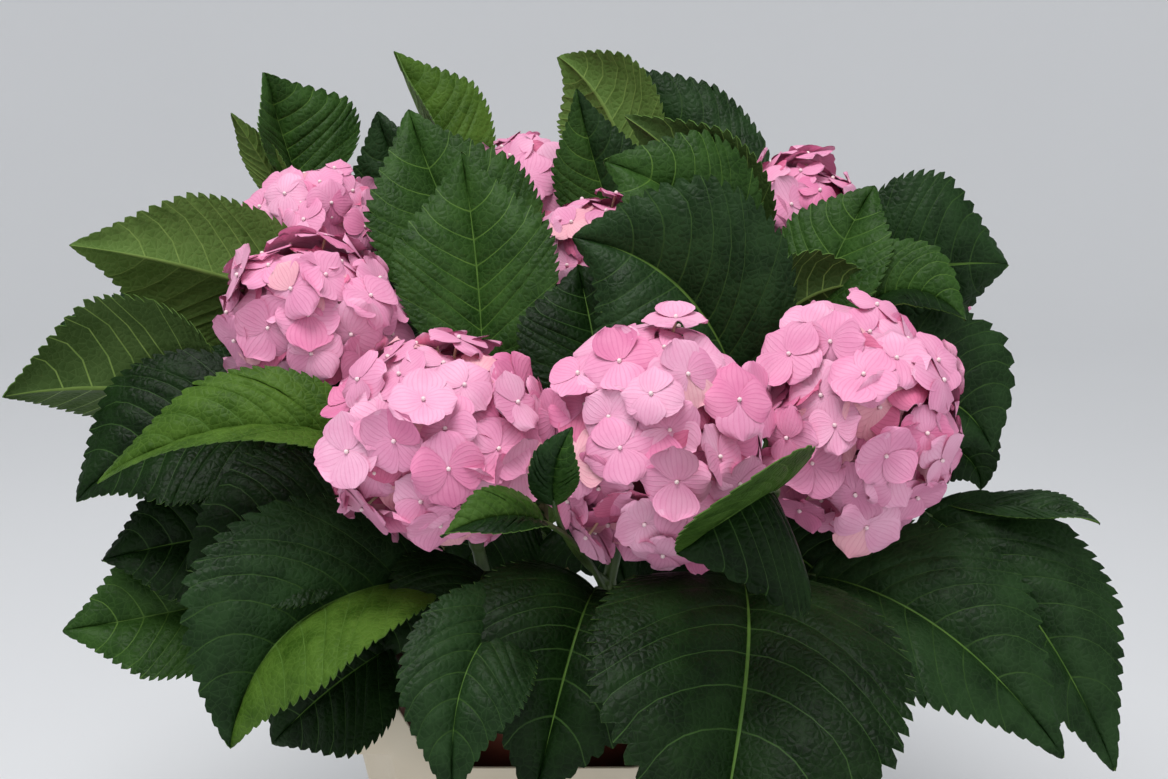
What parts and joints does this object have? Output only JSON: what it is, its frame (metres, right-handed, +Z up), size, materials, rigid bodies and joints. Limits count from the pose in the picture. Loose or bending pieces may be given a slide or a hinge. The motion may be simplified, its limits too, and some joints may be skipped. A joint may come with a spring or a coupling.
{
  "type": "hydrangea shrub",
  "caption": "Potted mophead hydrangea: canes rise from a round nursery pot in a square cream planter, with broad toothed leaves in pairs and a round pink flower head on each.",
  "frame": {"origin": "centre of the planter's flat underside", "axes": "+Z up, -Y towards the viewer of the picture, +X to that viewer's right"},
  "size_m": [0.6879, 0.5752, 0.588],
  "materials": {
    "planter": "cream, satin, moulded",
    "nursery_pot": "dark red-brown, matt, moulded",
    "soil": "dark peat, rough",
    "cane": "green-brown bark, rough",
    "leaf": "dark green, slightly glossy above",
    "flower": "pink, matt"
  },
  "bodies": {
    "root": {"planter": "planter", "nursery_pot": "nursery_pot", "soil": "soil", "cane_west": "cane", "cane_front_left": "cane", "cane_front": "cane", "cane_front_right": "cane", "cane_east": "cane", "cane_middle": "cane", "cane_north": "cane", "cane_north_west": "cane", "cane_far_east": "cane", "cane_back_right": "cane", "cane_back_left": "cane", "leaves_west": "leaf", "leaves_front_left": "leaf", "leaves_front": "leaf", "leaves_front_right": "leaf", "leaves_east": "leaf", "leaves_middle": "leaf", "leaves_north": "leaf", "leaves_north_west": "leaf", "leaves_far_east": "leaf", "leaves_back_right": "leaf", "leaves_back_left": "leaf", "flower_head_west": "flower", "flower_head_front_left": "flower", "flower_head_front": "flower", "flower_head_front_right": "flower", "flower_head_east": "flower", "flower_head_middle": "flower", "flower_head_north": "flower", "flower_head_north_west": "flower", "flower_head_far_east": "flower", "flower_head_back_right": "flower", "flower_head_back_left": "flower"}
  },
  "joints": []
}
